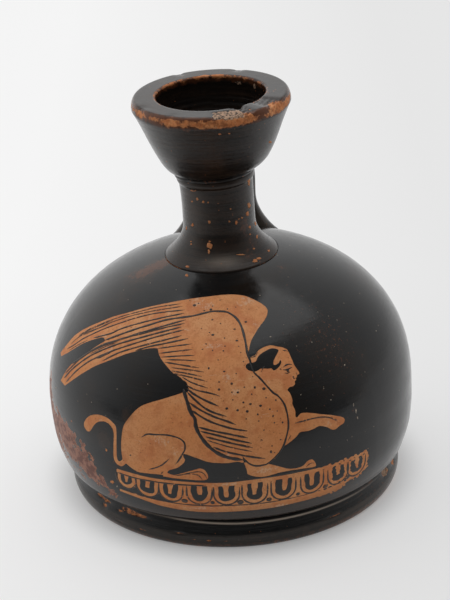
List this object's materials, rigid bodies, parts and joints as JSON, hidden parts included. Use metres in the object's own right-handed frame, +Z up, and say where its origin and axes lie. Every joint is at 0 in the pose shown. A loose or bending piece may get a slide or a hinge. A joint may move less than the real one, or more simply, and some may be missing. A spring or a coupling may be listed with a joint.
{
  "type": "squat lekythos",
  "caption": "Small squat oil jar of black-gloss clay with a cup-shaped mouth, narrow collared neck, strap handle, low bulging body and ring foot.",
  "frame": {"origin": "centre of the foot's standing ring, on the surface the jar stands on", "axes": "+Z up along the foot's axis, +X to the right of the decorated front, +Y towards the handle at the back"},
  "size_m": [0.0769, 0.0768, 0.0847],
  "materials": {
    "black_gloss": "satin black clay gloss, wheel-marked, worn to the clay at the edges",
    "red_clay": "matt orange fired clay"
  },
  "bodies": {
    "root": {"foot_ring": "black_gloss", "foot_joint_slip": "red_clay", "body": "black_gloss", "neck_joint_slip": "red_clay", "neck": "black_gloss", "mouth_joint_slip": "red_clay", "mouth": "black_gloss", "handle": "black_gloss", "handle_upper_joint_slip": "red_clay", "handle_lower_joint_slip": "red_clay"}
  },
  "joints": []
}
